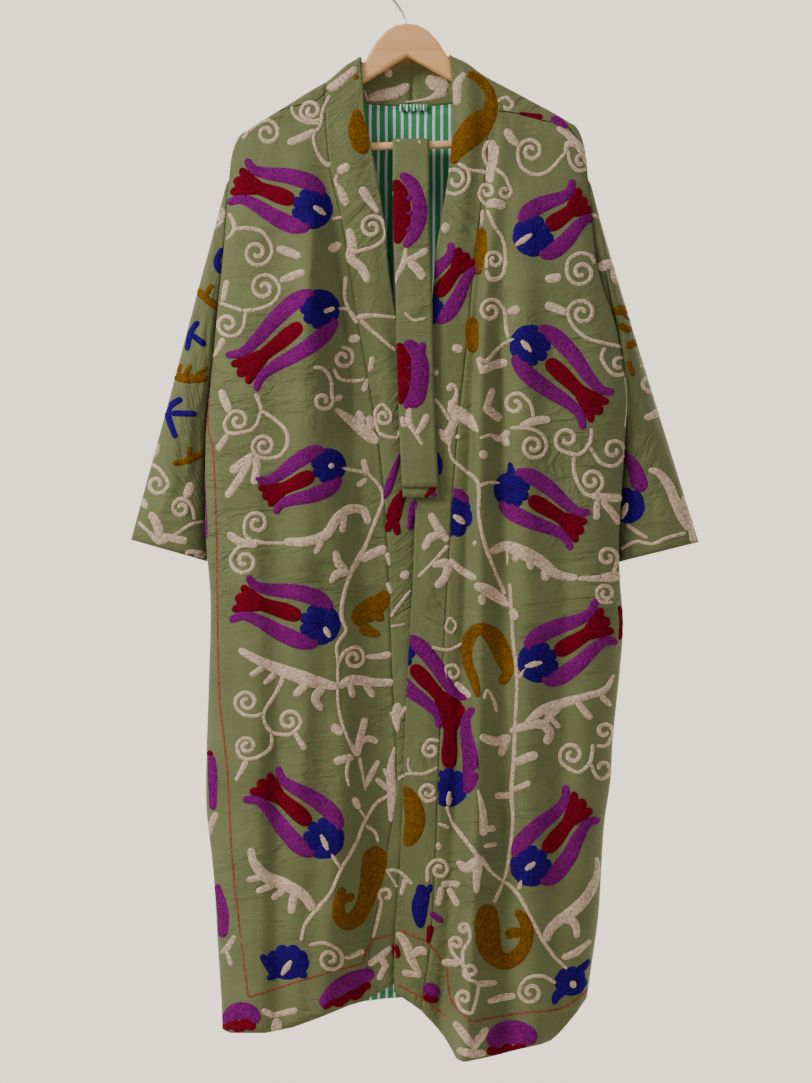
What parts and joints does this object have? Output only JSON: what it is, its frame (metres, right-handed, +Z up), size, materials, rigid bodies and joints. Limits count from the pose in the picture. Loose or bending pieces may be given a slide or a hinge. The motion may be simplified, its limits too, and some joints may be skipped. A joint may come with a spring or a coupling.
{
  "type": "suzani coat on a hanger",
  "caption": "Long cotton coat, all-over suzani embroidery, striped lining, its belt folded over a wooden hanger's bar",
  "frame": {"origin": "the highest inner point of the hook's bend", "axes": "+Z up, -Y towards a viewer of the coat's front, +X to that viewer's right"},
  "size_m": [0.7247, 0.1357, 1.3593],
  "materials": {
    "green_cotton": "matte",
    "striped_lining": "matte",
    "pale_wood": "satin",
    "steel_wire": "satin"
  },
  "bodies": {
    "root": {"back": "green_cotton", "lining_back": "striped_lining", "front_left": "green_cotton", "front_right": "green_cotton", "band_left": "green_cotton", "band_right": "green_cotton", "sleeve_left": "green_cotton", "sleeve_right": "green_cotton", "belt": "green_cotton", "hanger_body": "pale_wood", "hanger_bar": "pale_wood", "hanger_hook": "steel_wire"}
  },
  "joints": []
}
